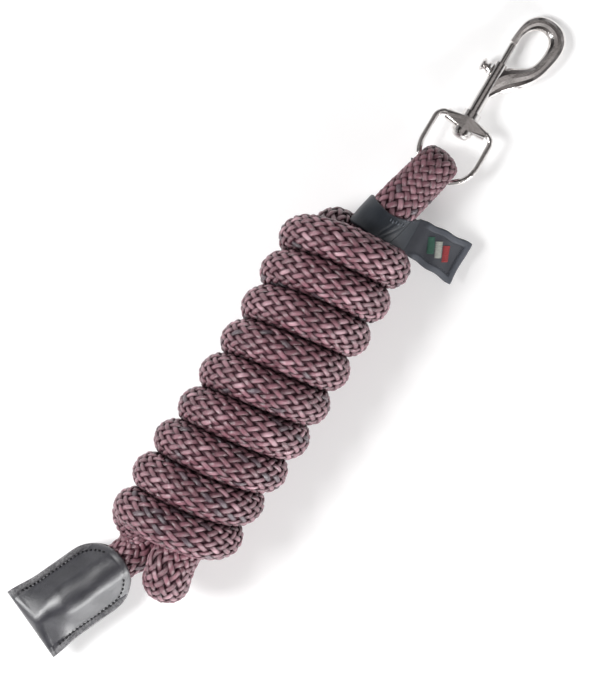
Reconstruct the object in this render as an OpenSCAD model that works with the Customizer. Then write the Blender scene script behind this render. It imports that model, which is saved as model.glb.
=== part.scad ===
// Horse lead rope, wound into a hank as it is sold and stored.
// A braided rope is doubled back on itself as a core, wound round that core,
// and finished with a stitched leather cap. Its other end is an eye splice
// that holds the swivel ring of a bolt snap. A ribbon label is sewn round the
// splice and stands out as a tab.
// The whole lies on z = 0, with the hank along X and the snap towards +X.

/* [Rope] */
// Diameter of the braided rope
rope_d = 22; // [20:0.5:22.5]
// Number of turns wound round the core
turns = 9; // [7:1:9]
// Distance from one turn to the next
pitch = 22; // [21.6:0.1:22.4]
// Half width of the hank, to the middle of the rope
hank_half_w = 26; // [24:0.5:28]
// Half height of the hank, to the middle of the rope
hank_half_h = 23; // [22:0.5:24]
// Width of the flattened rope where it passes round the ring
eye_w = 25; // [22:0.5:25.5]
// Thickness of the flattened rope where it passes round the ring
eye_t = 10.8; // [9:0.2:11]
// Diameter of the splice behind the eye
splice_d = 27; // [25:0.5:27.5]

/* [Leather cap] */
// Width of the leather strip at the fold
cap_fold_w = 45; // [42:0.5:48]
// Width across the sewn sides
cap_w = 41.5; // [40:0.5:43]
// Length from the arched mouth to the fold
cap_len = 64.5; // [60:0.5:70]
// Thickness of one ply of leather
leather_t = 2; // [1.6:0.1:2.4]
// Distance from the leather's edge to the seam
seam_inset = 3.6; // [3:0.1:3.8]
// Length of one stitch and its gap
stitch_pitch = 2.7; // [2.4:0.1:4]

/* [Label] */
// Width of the ribbon
label_w = 22; // [18:0.5:24]
// Width of the tab at its free end
label_end_w = 26; // [22:0.5:28]
// Length of the tab from its fold to its free end
label_len = 35.5; // [30:0.5:40]
// Thickness of the doubled ribbon
label_t = 1.4; // [1:0.1:2]
// Slope of the tab below level, in degrees
label_slope = 26; // [0:1:28]

/* [Swivel ring] */
// Diameter of the ring's wire
ring_wire = 3.6; // [3.2:0.1:3.9]
// Radius of the ring's bow, to the middle of the wire
ring_r = 17.5; // [17:0.1:18]
// Length of the ring's straight arms
ring_arm = 13.5; // [12:0.5:15]
// Thickness of the boss that the shank turns in
boss_t = 7.4; // [6:0.2:8]

/* [Bolt snap] */
// Outer diameter of the barrel
barrel_d = 7.6; // [7.4:0.1:8.6]
// Diameter of the sliding bolt
bolt_d = 4; // [3.6:0.1:4.2]
// Travel of the bolt
bolt_travel = 12; // [8:0.5:12]
// Diameter of the shank in the ring's boss
shank_d = 5.2; // [4.6:0.1:5.6]
// Radial clearance of the bolt in its bore and of the shank in its boss
run_gap = 0.08; // [0.04:0.01:0.1]
// Diameter of the thumb knob
knob_d = 8.2; // [7:0.1:9]

/* [Hidden] */
$fn = 48;

// The origin is the middle of the whole object's footprint, on the ground.
origin_shift = [-35.99, -3.452, 0];

rope_r = rope_d / 2;
lobe_r = rope_r + 0.2;            // a turn's own radius, pressed into its neighbours
hank_z = hank_half_h + lobe_r - 0.8;   // the turns are pressed flat by 0.8 on the ground
hank_y = 1;
front_x = turns * pitch / 2;      // end of the wound length towards the snap
rear_x = -turns * pitch / 2;

// The ring's bow inside the eye, the eye's lie and the snap's lie
bar = [front_x + 53.2, -17.7, 14.4];
eye_yaw = -14;
eye_rise = 19;
snap_dip = 5.93;
bow_inset = 1.3;                  // the bow's wire lies this far back in the eye
snap_y = bar[1] + (ring_r - bow_inset) * sin(eye_yaw);
eye_r = 8.8;                      // middle of the flattened rope round the bar
eye_gap = eye_r - eye_t / 2;      // half height of the eye's hole
splice_from = 21;                 // along the splice, from the bar
splice_to = 53;
band_from = 31;
band_to = 52.4;
whip_t = 0.5;
band_t = 0.9;

// The cap's lie
cap_mouth = [rear_x - 22.9, 20.2, 13];
cap_yaw = 155.7;
cap_bulge_r = 13;
cap_bore_r = 11;

// The tab's fold line
tab_root = [116.2, -27, 24.5];
tab_yaw = 1;

// Snap stations along the shank axis, from the middle of the boss
boss_x = 34;                      // from the bar to the boss
barrel_from = 7.8;
barrel_to = 39.8;
bore_from = 12;
bolt_from = 30;
nose_x = 53.8;
knob_x = 34.3;

rope_colour = [0.36, 0.19, 0.23];
metal = [0.82, 0.82, 0.84];
black = [0.07, 0.07, 0.09];

// ---------- curves and sweeps ----------

// One point of a Catmull-Rom curve through a list of rows, at parameter u
function cr(p, i, u) =
    let (n = len(p) - 1,
         a = p[max(i - 1, 0)], b = p[i], c = p[min(i + 1, n)], d = p[min(i + 2, n)])
    0.5 * (2 * b + (c - a) * u + (2 * a - 5 * b + 4 * c - d) * u * u
           + (3 * b - a - 3 * c + d) * u * u * u);
function smooth(p, k) =
    [for (i = [0 : len(p) - 2]) for (j = [0 : k - 1]) cr(p, i, j / k), p[len(p) - 1]];

function unit(v) = v / norm(v);
function tangent(p, i) =
    unit(let (a = p[max(i - 1, 0)], b = p[min(i + 1, len(p) - 1)])
         [b[0] - a[0], b[1] - a[1], b[2] - a[2]]);

module skin(rings) {
    m = len(rings[0]);
    n = len(rings);
    polyhedron(
        points = [for (r = rings) for (q = r) q],
        faces = concat(
            [[for (j = [0 : m - 1]) j]],
            [for (i = [0 : n - 2]) for (j = [0 : m - 1])
                [i * m + j, (i + 1) * m + (j + 1) % m, i * m + (j + 1) % m]],
            [for (i = [0 : n - 2]) for (j = [0 : m - 1])
                [i * m + j, (i + 1) * m + j, (i + 1) * m + (j + 1) % m]],
            [[for (j = [m - 1 : -1 : 0]) (n - 1) * m + j]]));
}

// A round rope through a route that is never vertical
module rope(route, r, sides = 12) {
    skin([for (i = [0 : len(route) - 1])
        let (t = tangent(route, i), s = unit(cross([0, 0, 1], t)), u = cross(t, s))
        [for (j = [0 : sides - 1])
            [route[i][0], route[i][1], route[i][2]]
            + r * (cos(360 * j / sides) * s + sin(360 * j / sides) * u)]]);
}

// A flat curved arm: rows are [x, y, width across, thickness]
module arm(rows, sides = 16) {
    skin([for (i = [0 : len(rows) - 1])
        let (a = rows[max(i - 1, 0)], b = rows[min(i + 1, len(rows) - 1)],
             t = unit([b[0] - a[0], b[1] - a[1], 0]), s = [-t[1], t[0], 0])
        [for (j = [0 : sides - 1])
            let (c = cos(360 * j / sides), d = sin(360 * j / sides),
                 k = 1 / pow(pow(abs(c), 2.5) + pow(abs(d), 2.5), 0.4))
            [rows[i][0], rows[i][1], 0]
            + rows[i][2] / 2 * k * c * s + [0, 0, rows[i][3] / 2 * k * d]]]);
}

// ---------- frames ----------

module on_ground() { translate(origin_shift) children(); }
// Eye frame: the bar is at the origin, X runs back along the splice
module in_eye() {
    on_ground() translate(bar) rotate([0, 0, 180 + eye_yaw])
        rotate([0, -eye_rise, 0]) children();
}
// Snap frame: origin in the middle of the boss, X towards the hook
module in_snap() {
    on_ground() translate([bar[0], snap_y, bar[2]]) rotate([0, snap_dip, 0])
        translate([boss_x, 0, 0]) children();
}
// Cap frame: origin at the mouth, X towards the fold
module in_cap() {
    on_ground() translate(cap_mouth) rotate([0, 0, cap_yaw]) children();
}
// Tab frame: origin on the fold line, -Y towards the free end
module in_tab() {
    on_ground() translate(tab_root) rotate([0, 0, tab_yaw])
        rotate([label_slope, 0, 0]) children();
}
module along_x(r, x0, x1) {
    translate([x0, 0, 0]) rotate([0, 90, 0]) cylinder(r = r, h = x1 - x0);
}
module along_y(r, y0, y1) {
    translate([0, y0, 0]) rotate([-90, 0, 0]) cylinder(r = r, h = y1 - y0);
}

// ---------- rope ----------

// Half outline of the wound length: one round lobe for each turn
module lobes() {
    union() {
        translate([0, rear_x + 1]) square([hank_half_h, turns * pitch - 2]);
        for (i = [0 : turns - 1])
            translate([hank_half_h, rear_x + pitch * (i + 0.5)])
                circle(r = lobe_r, $fn = 24);
    }
}
// The outer shape of the wound turns, flat where they press on the ground
module rope_hank() {
    half = hank_half_w - hank_half_h;
    color(rope_colour) on_ground() translate([0, hank_y, 0]) difference() {
        translate([0, 0, hank_z]) rotate([0, 90, 0]) union() {
            for (m = [0, 180]) rotate([0, 0, m]) translate([0, half, 0])
                rotate_extrude(angle = 180, $fn = 48) lobes();
            translate([0, half, 0]) rotate([90, 0, 0]) linear_extrude(height = 2 * half)
                union() { lobes(); mirror([1, 0]) lobes(); }
        }
        translate([-150, -60, -20]) cube([300, 120, 20]);
    }
}
// The doubled core's free loop, standing out of the hank's rear end
module rope_bight() {
    bend = rope_r + 0.3;
    color(rope_colour) on_ground()
    translate([rear_x - 11, -8, hank_z]) rotate([90, 0, 0]) union() {
        rotate([0, 0, 90]) rotate_extrude(angle = 180, $fn = 64)
            translate([bend, 0]) circle(r = rope_r, $fn = 48);
        for (s = [-1, 1]) translate([0, s * bend, 0]) along_x(rope_r, 0, 13);
    }
}
// The last stretch: down the hank's side and out along the ground to the cap
tail_route = [[-99, 25, 21], [-104, 20, 15.5], [-110, 17, 13.2], [-116, 17.6, 12.6],
              [-121.9, 20.2, 13], [-126.5, 22.3, 13]];
module rope_tail() {
    color(rope_colour) on_ground() translate([rear_x + 99, 0, 0])
        rope(smooth(tail_route, 3), rope_r - 0.2);
}
// The rope's end inside the cap
module rope_end() {
    color(rope_colour) in_cap() along_x(rope_r - 0.5, 5.05, 50);
}
// Twine bound round the cut end, so that it can't unravel
module end_whipping() {
    color([0.75, 0.72, 0.66]) in_cap() difference() {
        along_x(cap_bore_r - 0.05, 36, 47);
        along_x(rope_r - 0.5, 35, 48);
    }
}
// Outline of the flattened rope, seen along its run
module flat_rope() {
    union() {
        square([eye_t, eye_w - eye_t], center = true);
        for (s = [-1, 1]) translate([0, s * (eye_w - eye_t) / 2]) circle(r = eye_t / 2);
    }
}
// The eye: flattened rope round the ring's bow, its legs closing into the splice
module rope_eye() {
    closed = 5;
    color(rope_colour) in_eye() difference() {
        union() {
            rotate([90, 0, 0]) rotate([0, 0, 90]) rotate_extrude(angle = 180)
                translate([eye_r, 0]) flat_rope();
            for (s = [-1, 1]) translate([0, 0, s * eye_r]) rotate([90, 0, 90])
                linear_extrude(height = splice_from + 3) rotate([0, 0, 90]) flat_rope();
            translate([closed, -eye_w / 2 + 4, -eye_r])
                cube([splice_from - closed + 3, eye_w - 8, 2 * eye_r]);
            along_x(splice_d / 2, splice_from, splice_to);
            along_x(rope_r - 0.2, splice_to - 1, splice_to + 5);
        }
        along_y(eye_gap, -20, 20);
    }
}
// Twine that binds both legs of the splice, under the ribbon
module eye_whipping() {
    color([0.5, 0.5, 0.53]) in_eye() difference() {
        along_x(splice_d / 2 + whip_t, band_from + 2, band_to - 2);
        along_x(splice_d / 2, band_from, band_to);
    }
}

// ---------- leather cap ----------

function cap_half(x) = x < cap_len - 14 ? cap_w / 2
    : cap_w / 2 + (cap_fold_w - cap_w) / 2 * (x - cap_len + 14) / 14;
// Outline of the strip, arched at its mouth and flared at its fold
module cap_outline(inset = 0) {
    r = cap_w / 2 - inset;
    union() {
        translate([cap_w / 2, 0]) circle(r = r, $fn = 96);
        polygon([for (s = [1, -1])
                 for (x = s > 0 ? [cap_w / 2, cap_len - 14, cap_len]
                                : [cap_len, cap_len - 14, cap_w / 2])
                 [x, s * (cap_half(x) - inset)]]);
    }
}
module leather_cap() {
    bulge_to = 50;
    color(black) in_cap() difference() {
        union() {
            translate([0, 0, -leather_t]) linear_extrude(height = 2 * leather_t) cap_outline();
            hull() {
                along_x(cap_bulge_r, 4, bulge_to, $fn = 32);
                translate([10, -cap_w / 2 + seam_inset + 1.5, -leather_t])
                    cube([bulge_to - 10, cap_w - 2 * seam_inset - 3, 2 * leather_t]);
            }
            hull() {
                along_x(cap_bulge_r, bulge_to - 0.5, bulge_to, $fn = 32);
                translate([bulge_to - 4, -cap_w / 2 + seam_inset + 1.5, -leather_t])
                    cube([4, cap_w - 2 * seam_inset - 3, 2 * leather_t]);
                translate([cap_len - 5, 0, 0]) along_y(5, -10, 10, $fn = 24);
                translate([cap_len - 2, 0, 0]) along_y(2, -cap_fold_w / 2 + 1, cap_fold_w / 2 - 1, $fn = 16);
            }
        }
        along_x(cap_bore_r, -1, bulge_to);
    }
}
// A row of stitches between two points, on one face
module stitches(a, b, z, r = 0.35, p = stitch_pitch) {
    n = max(1, floor(norm(b - a) / p));
    d = (b - a) / n;
    for (i = [0 : n - 1])
        translate([a[0] + d[0] * (i + 0.5), a[1] + d[1] * (i + 0.5), z])
            rotate([0, 0, atan2(d[1], d[0])]) along_x(r, -p * 0.32, p * 0.32, $fn = 16);
}
module cap_stitching() {
    r = cap_w / 2 - seam_inset;
    arc = floor(3.14159 * r / stitch_pitch);
    color([0.02, 0.02, 0.02]) in_cap() for (z = [-leather_t, leather_t]) {
        for (s = [-1, 1])
            stitches([cap_w / 2, s * r], [cap_len - 6, s * (r + 0.8)], z);
        // the rope fills the middle of the mouth, so the seam stops at its shoulders
        for (i = [0 : arc - 1]) if (abs(r * sin(90 + 180 * (i + 0.5) / arc)) > 15.8)
            translate([cap_w / 2, 0, z]) rotate([0, 0, 90 + 180 * (i + 0.5) / arc])
                translate([r, 0, 0]) rotate([90, 0, 0]) cylinder(r = 0.35, h = stitch_pitch * 0.64, center = true, $fn = 16);
    }
}

// ---------- ribbon label ----------

module label_band() {
    color([0.10, 0.12, 0.15]) in_eye() difference() {
        along_x(splice_d / 2 + whip_t + band_t, band_from, band_to);
        along_x(splice_d / 2 + whip_t, band_from - 1, band_to + 1);
    }
}
// Stitches through the ribbon's overlap, beside the splice
module band_stitching() {
    r = splice_d / 2 + whip_t + band_t;
    color([0.55, 0.58, 0.62]) in_eye() for (i = [0 : 4])
        rotate([-16 + 5 * i, 0, 0]) translate([band_from + 2.5, 0, r])
            along_x(0.4, -1.3, 1.3, $fn = 16);
}
module tab_outline(inset = 0) {
    polygon([[-label_w / 2 + inset, -inset], [label_w / 2 - inset, -inset],
             [label_end_w / 2 - inset, -label_len + inset],
             [-label_end_w / 2 + inset, -label_len + inset]]);
}
module label_tab() {
    color([0.10, 0.11, 0.14]) in_tab() union() {
        translate([0, 0, -label_t / 2]) linear_extrude(height = label_t) tab_outline();
        rotate([0, 90, 0]) cylinder(r = label_t / 2, h = label_w, center = true);
    }
}
module label_stitching() {
    w = label_w / 2 - 2.6;
    e = label_end_w / 2 - 2.6;
    color([0.30, 0.32, 0.37]) in_tab() {
        for (s = [-1, 1])
            stitches([s * w, -3], [s * e, -label_len + 3], label_t / 2, 0.25, 1.6);
        stitches([-e + 1.6, -label_len + 2.4], [e - 1.6, -label_len + 2.4], label_t / 2, 0.25, 1.6);
    }
}
// Three plain slanting stripes, embroidered in the middle of the tab
module label_emblem() {
    color([0.85, 0.84, 0.80]) in_tab() translate([0.6, -label_len * 0.52, label_t / 2])
        for (i = [-1 : 1]) translate([0, 5.4 * i, 0]) rotate([0, 0, 24])
            translate([-4.6, -2.3, 0]) cube([9.2, 4.6, 0.4]);
}

// ---------- swivel ring ----------

// Middle of the ring's wire, from one side of the boss round the bow to the other
function ring_half(s, bow_x, far_x, corner) = [
    [far_x + corner, s * 6.5, 0],
    for (i = [0 : 6]) [far_x + corner * cos(15 * i), s * (ring_r - corner + corner * sin(15 * i)), 0],
    [(far_x + bow_x) / 2, s * ring_r, 0]];
module swivel_ring() {
    corner = 5.5;
    bow_x = -boss_x + (ring_r - bow_inset) * cos(eye_yaw);
    far_x = bow_x + ring_arm;
    back = ring_half(-1, bow_x, far_x, corner);
    route = concat(ring_half(1, bow_x, far_x, corner),
        [for (i = [0 : 24]) [bow_x - ring_r * sin(7.5 * i), ring_r * cos(7.5 * i), 0]],
        [for (i = [len(back) - 1 : -1 : 0]) back[i]]);
    color(metal) in_snap() difference() {
        union() {
            rope(route, ring_wire / 2, 16);
            hull() {
                along_y(boss_t / 2 - 0.4, -12.6, 12.6, $fn = 32);
                along_y(boss_t / 2 - 0.1, -9.5, 9.5, $fn = 32);
                along_x(5, -boss_t / 2, boss_t / 2, $fn = 32);
            }
        }
        along_x(shank_d / 2 + run_gap, -10, 10);
    }
}
// Loose washer between the boss and the shank's head
module swivel_washer() {
    color(metal) in_snap() difference() {
        along_x(6.3, -boss_t / 2 - 2.4, -boss_t / 2 - 0.1);
        along_x(shank_d / 2 + run_gap, -10, 0);
    }
}

// ---------- bolt snap ----------

// Rows along the hook's arm: [x, y, width across, thickness]
hook_rows = [[14, 0, 5, 5], [18.5, -0.4, 6.2, 5.6], [23.5, -1.9, 8.6, 6], [28.8, -4.1, 12, 6.4],
             [33.6, -7.6, 13.6, 7], [38.2, -13.2, 11.4, 7.8], [42.4, -17.3, 9.4, 8], [47.4, -20, 8.2, 8],
             [54, -21.6, 8.2, 8], [60, -22.2, 9, 8], [65.3, -21.4, 9.9, 7.6], [69.2, -18.7, 10, 7.2],
             [71.2, -14.9, 9.5, 6.9], [71.7, -10.7, 9, 6.6], [70.3, -6.3, 8.4, 6.4], [67, -3, 7.3, 6.2],
             [63, -1.1, 5.7, 5.8], [58.5, -0.1, 4.8, 5.4], [nose_x, 0.2, 4.9, 5.2]];
module snap_body() {
    color(metal) in_snap() difference() {
        union() {
            arm(smooth(hook_rows, 3));
            along_x(barrel_d / 2, barrel_from - 0.5, barrel_to);
            along_x(5.3, boss_t / 2 + 0.3, barrel_from - 0.2);
            along_x(shank_d / 2, -boss_t / 2 - 3, barrel_from);
            translate([-boss_t / 2 - 2.5, 0, 0]) rotate([0, -90, 0])
                rotate_extrude() polygon([[0, 0], [5, 0], [5, 1.2], [4.2, 2.2], [2.5, 2.8], [0, 2.9]]);
        }
        along_x(bolt_d / 2 + run_gap, bore_from, nose_x - 0.05);
        hull() for (x = [knob_x - bolt_travel - 0.2, knob_x + 0.2])
            translate([x, 0, 0]) along_y(1.45, 1, 7, $fn = 32);
    }
}
module snap_bolt() {
    color(metal) in_snap() difference() {
        union() {
            along_x(bolt_d / 2, bolt_from, nose_x - 1.2);
            translate([nose_x - 1.2, 0, 0]) rotate([0, 90, 0])
                cylinder(r1 = bolt_d / 2, r2 = bolt_d / 2 - 0.5, h = 1);
        }
        translate([knob_x, 0, 0]) along_y(1.25, -0.8, 5);
    }
}
module thumb_knob() {
    color(metal) in_snap() translate([knob_x, 0, 0]) rotate([-90, 0, 0])
        rotate_extrude() polygon([[0, -0.8], [1.25, -0.8], [1.25, 4.6],
            [3.5, 4.6], [3.7, 5], [3.5, 5.9], [2.5, 6.5], [2.4, 7.4], [3.4, 8],
            [knob_d / 2 - 0.1, 8.4], [knob_d / 2, 9], [knob_d / 2 - 0.4, 9.6], [2.6, 10.2], [0, 10.5]]);
}
module bolt_spring() {
    coils = 9;
    wire_r = 0.28;
    mean_r = 1.5;
    span = bolt_from - bore_from - 2 * wire_r - 0.1;
    steps = coils * 12;
    color([0.6, 0.6, 0.62]) in_snap() translate([bore_from + wire_r + 0.05, 0, 0])
        skin([for (i = [0 : steps])
            let (a = 360 * i / 12, x = span * i / steps,
                 o = [0, cos(a), sin(a)], t = [1, 0, 0])
            [for (j = [0 : 5])
                [x, 0, 0] + mean_r * o
                + wire_r * (cos(60 * j) * t + sin(60 * j) * o)]]);
}

// ---------- drawing ----------

rope_hank();
rope_bight();
rope_tail();
rope_end();
rope_eye();
eye_whipping();
end_whipping();
leather_cap();
cap_stitching();
label_band();
band_stitching();
label_tab();
label_stitching();
label_emblem();
swivel_ring();
swivel_washer();
snap_body();
snap_bolt();
thumb_knob();
bolt_spring();
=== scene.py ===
"""A horse lead rope, wound into a hank, with its bolt snap and leather end cap."""
import math

import bpy
import numpy as np
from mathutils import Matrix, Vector


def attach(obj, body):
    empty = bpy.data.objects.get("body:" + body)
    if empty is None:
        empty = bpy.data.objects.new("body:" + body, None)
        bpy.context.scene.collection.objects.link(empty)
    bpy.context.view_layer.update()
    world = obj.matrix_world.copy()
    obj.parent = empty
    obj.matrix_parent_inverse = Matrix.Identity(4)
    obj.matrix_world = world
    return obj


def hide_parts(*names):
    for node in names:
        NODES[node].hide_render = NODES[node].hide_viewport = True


MM = 0.001
rng = np.random.default_rng(7)
scene = bpy.context.scene

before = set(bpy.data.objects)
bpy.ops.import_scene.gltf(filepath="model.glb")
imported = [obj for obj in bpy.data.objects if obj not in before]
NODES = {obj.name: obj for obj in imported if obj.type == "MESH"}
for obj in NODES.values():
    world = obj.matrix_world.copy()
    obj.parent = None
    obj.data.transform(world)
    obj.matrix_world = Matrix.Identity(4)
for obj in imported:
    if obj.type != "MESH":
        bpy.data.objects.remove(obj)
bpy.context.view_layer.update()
SHIFT = np.array([-35.99, -3.452, 0.0])

# ------------------------------------------------------------------ camera
TURN = math.radians(-59.5)
aim = np.array([27.8, -3.1, 0.0]) + SHIFT
cam_data = bpy.data.cameras.new("camera")
cam = bpy.data.objects.new("camera", cam_data)
scene.collection.objects.link(cam)
CAM_H = 2600.0
cam_data.sensor_fit = "VERTICAL"
cam_data.sensor_height = 24.0
cam_data.lens = 24.0 * (CAM_H - 22.0) / (700 * 0.56)
cam_data.clip_end = 10
cam_data.dof.use_dof = False
cam.location = Vector((aim[0] * MM, aim[1] * MM, CAM_H * MM))
cam.rotation_euler = (0, 0, TURN)
scene.camera = cam


# ------------------------------------------------------------------ helpers
def vec(x, y, z):
    return np.array([x, y, z], float)


def unit(v):
    return v / np.linalg.norm(v)


def smoothstep(a, b, x):
    t = np.clip((np.asarray(x, float) - a) / (b - a), 0, 1)
    return t * t * (3 - 2 * t)


def new_mesh(name, verts, faces, mat, smooth=True, attrs=None, uv=None, closed=True):
    """verts in row-frame millimetres."""
    me = bpy.data.meshes.new(name)
    verts = np.asarray(verts, float) * MM
    faces = np.asarray(faces, np.int32)
    if closed:
        q = verts - verts.mean(0)
        if np.einsum("ij,ij->i", q[faces[:, 0]], np.cross(q[faces[:, 1]], q[faces[:, 2]]) + np.cross(q[faces[:, 2]], q[faces[:, -1]])).sum() < 0:
            faces = faces[:, ::-1]
    me.vertices.add(len(verts))
    me.vertices.foreach_set("co", verts.ravel())
    n, k = faces.shape
    me.loops.add(n * k)
    me.loops.foreach_set("vertex_index", faces.ravel())
    me.polygons.add(n)
    me.polygons.foreach_set("loop_start", np.arange(0, n * k, k, dtype=np.int32))
    me.polygons.foreach_set("loop_total", np.full(n, k, np.int32))
    me.update(calc_edges=True)
    if smooth:
        me.polygons.foreach_set("use_smooth", np.ones(n, bool))
    for key, val in (attrs or {}).items():
        a = me.attributes.new(key, "FLOAT", "POINT")
        a.data.foreach_set("value", np.asarray(val, np.float32))
    if uv is not None:
        lay = me.uv_layers.new(name="UVMap")
        lay.data.foreach_set("uv", np.asarray(uv, np.float32)[faces.ravel()].ravel())
    me.validate()
    ob = bpy.data.objects.new(name, me)
    scene.collection.objects.link(ob)
    if mat is not None:
        me.materials.append(mat)
    return ob


def grid_faces(nu, nv, wrap_u=False, wrap_v=False, flip=False):
    """Faces of a grid whose vertex (i, j) is i * nv + j."""
    iu = np.arange(nu if wrap_u else nu - 1)
    iv = np.arange(nv if wrap_v else nv - 1)
    I, J = np.meshgrid(iu, iv, indexing="ij")
    I2, J2 = (I + 1) % nu, (J + 1) % nv
    f = np.stack([I * nv + J, I2 * nv + J, I2 * nv + J2, I * nv + J2], -1).reshape(-1, 4)
    return f[:, ::-1] if flip else f


def quads_from_tris(f3):
    return f3


# ------------------------------------------------------------------ materials
class Mat:
    def __init__(self, name):
        self.m = bpy.data.materials.new(name)
        self.m.use_nodes = True
        self.t = self.m.node_tree
        self.n = self.t.nodes
        self.l = self.t.links
        self.b = self.n["Principled BSDF"]
        self.out = self.n["Material Output"]

    def add(self, kind, **kw):
        node = self.n.new(kind)
        for k, v in kw.items():
            if k in node.inputs.keys() if hasattr(node.inputs, "keys") else False:
                node.inputs[k].default_value = v
            else:
                setattr(node, k, v)
        return node

    def set(self, **kw):
        for k, v in kw.items():
            self.b.inputs[k.replace("_", " ")].default_value = v

    def link(self, a, b):
        self.l.new(a, b)

    def attr(self, name):
        node = self.n.new("ShaderNodeAttribute")
        node.attribute_name = name
        return node.outputs["Fac"]

    def coord(self, which="Object"):
        return self.n.new("ShaderNodeTexCoord").outputs[which]

    def mapping(self, src, scale=(1, 1, 1), rot=(0, 0, 0)):
        node = self.n.new("ShaderNodeMapping")
        node.inputs["Scale"].default_value = scale
        node.inputs["Rotation"].default_value = rot
        self.link(src, node.inputs["Vector"])
        return node.outputs["Vector"]

    def noise(self, src, scale, detail=3.0, rough=0.55, out="Fac"):
        node = self.n.new("ShaderNodeTexNoise")
        node.inputs["Scale"].default_value = scale
        node.inputs["Detail"].default_value = detail
        node.inputs["Roughness"].default_value = rough
        self.link(src, node.inputs["Vector"])
        return node.outputs[out]

    def voronoi(self, src, scale, feature="F1", out="Distance"):
        node = self.n.new("ShaderNodeTexVoronoi")
        node.feature = feature
        node.inputs["Scale"].default_value = scale
        self.link(src, node.inputs["Vector"])
        return node.outputs[out]

    def ramp(self, src, stops):
        node = self.n.new("ShaderNodeValToRGB")
        el = node.color_ramp.elements
        while len(el) < len(stops):
            el.new(0.5)
        for e, (p, c) in zip(el, stops):
            e.position = p
            e.color = (*c, 1) if len(c) == 3 else c
        self.link(src, node.inputs["Fac"])
        return node.outputs["Color"]

    def math(self, op, a, b=None, clamp=False):
        node = self.n.new("ShaderNodeMath")
        node.operation = op
        node.use_clamp = clamp
        for i, v in enumerate((a, b)):
            if v is None:
                continue
            if isinstance(v, (int, float)):
                node.inputs[i].default_value = v
            else:
                self.link(v, node.inputs[i])
        return node.outputs[0]

    def mix(self, fac, a, b, blend="MIX"):
        node = self.n.new("ShaderNodeMix")
        node.data_type = "RGBA"
        node.blend_type = blend
        for sock, v in ((node.inputs[0], fac), (node.inputs[6], a), (node.inputs[7], b)):
            if isinstance(v, (int, float)):
                sock.default_value = v
            elif isinstance(v, tuple):
                sock.default_value = (*v, 1) if len(v) == 3 else v
            else:
                self.link(v, sock)
        return node.outputs[2]

    def maprange(self, v, a, b, c, d):
        node = self.n.new("ShaderNodeMapRange")
        for i, x in zip((1, 2, 3, 4), (a, b, c, d)):
            node.inputs[i].default_value = x
        self.link(v, node.inputs[0])
        return node.outputs[0]

    def bump(self, height, strength=0.5, distance=0.0003, normal=None):
        node = self.n.new("ShaderNodeBump")
        node.inputs["Strength"].default_value = strength
        node.inputs["Distance"].default_value = distance
        self.link(height, node.inputs["Height"])
        if normal is not None:
            self.link(normal, node.inputs["Normal"])
        return node.outputs["Normal"]


def rope_material():
    """Filament yarn: UV x runs along the yarn in mm, UV y across it, 0 to 1."""
    k = Mat("rope_braid")
    uv = k.coord("UV")
    sep = k.add("ShaderNodeSeparateXYZ")
    k.link(uv, sep.inputs[0])
    along, across = sep.outputs[0], sep.outputs[1]
    tone = k.attr("tone")
    lift = k.attr("lift")
    blue = k.attr("blue")
    fil = k.noise(k.mapping(uv, (0.22, 26, 1)), 1.0, 3.0, 0.65)
    fil2 = k.noise(k.mapping(uv, (0.6, 70, 1)), 1.0, 2.0, 0.6)
    cloud = k.noise(k.coord("Object"), 260, 3.0, 0.6)
    f = k.math("ADD", k.math("MULTIPLY", fil, 0.75), k.math("MULTIPLY", fil2, 0.25))
    base = k.ramp(f, [(0.30, (0.050, 0.014, 0.021)), (0.46, (0.165, 0.062, 0.082)),
                      (0.60, (0.330, 0.155, 0.190)), (0.76, (0.62, 0.40, 0.44))])
    base = k.mix(k.maprange(tone, 0.25, 1, 0.0, 0.72), base, (0.085, 0.028, 0.038))
    base = k.mix(k.maprange(tone, 0.0, 0.25, 0.45, 0.0), base, (0.60, 0.37, 0.42))
    base = k.mix(blue, base, (0.040, 0.040, 0.052))
    # painted shade and highlight: the yarn's sides are darkened, yarns where they pass under others are turned dark
    # plum and dimmed, and the tops of the floats are brightened above their own colour
    edge = k.math("ABSOLUTE", k.math("SUBTRACT", across, 0.5))
    base = k.mix(k.maprange(lift, 0.0, 0.75, 0.88, 0.0), base, (0.105, 0.026, 0.044))
    edge_shade = k.maprange(edge, 0.36, 0.5, 1.0, 0.50)
    low = k.maprange(lift, 0.0, 1.0, 0.26, 1.20)
    # painted shade: the yarns are darkened, down to a tenth, where they lie against the next turn of the hank
    crevice_shade = k.maprange(k.attr("crevice_shade"), 0.0, 1.0, 1.0, 0.10)
    shade = k.math("MULTIPLY", k.math("MULTIPLY", edge_shade, low), crevice_shade)
    shade = k.math("MULTIPLY", shade, k.maprange(cloud, 0.3, 0.7, 0.86, 1.14))
    hsv = k.add("ShaderNodeHueSaturation")
    k.link(base, hsv.inputs["Color"])
    k.link(shade, hsv.inputs["Value"])
    k.link(hsv.outputs[0], k.b.inputs["Base Color"])
    k.link(k.maprange(f, 0.3, 0.7, 0.36, 0.20), k.b.inputs["Roughness"])
    k.link(k.math("MULTIPLY", shade, 1.0, True), k.b.inputs["Specular IOR Level"])
    k.set(Sheen_Weight=0.06, Sheen_Roughness=0.4)
    k.b.inputs["Sheen Tint"].default_value = (0.85, 0.62, 0.68, 1)
    k.link(k.bump(f, 0.75, 0.00035), k.b.inputs["Normal"])
    return k.m


def core_shade_material():
    # the braid's inside, seen in the gaps between the yarns: partly the rope's own inside, partly painted shade,
    # coloured far darker than the yarns
    k = Mat("rope_core_shade")
    n = k.noise(k.coord("Object"), 500, 3.0)
    k.link(k.ramp(n, [(0.3, (0.040, 0.010, 0.018)), (0.7, (0.085, 0.028, 0.042))]), k.b.inputs["Base Color"])
    k.set(Roughness=0.8)
    return k.m


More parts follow.
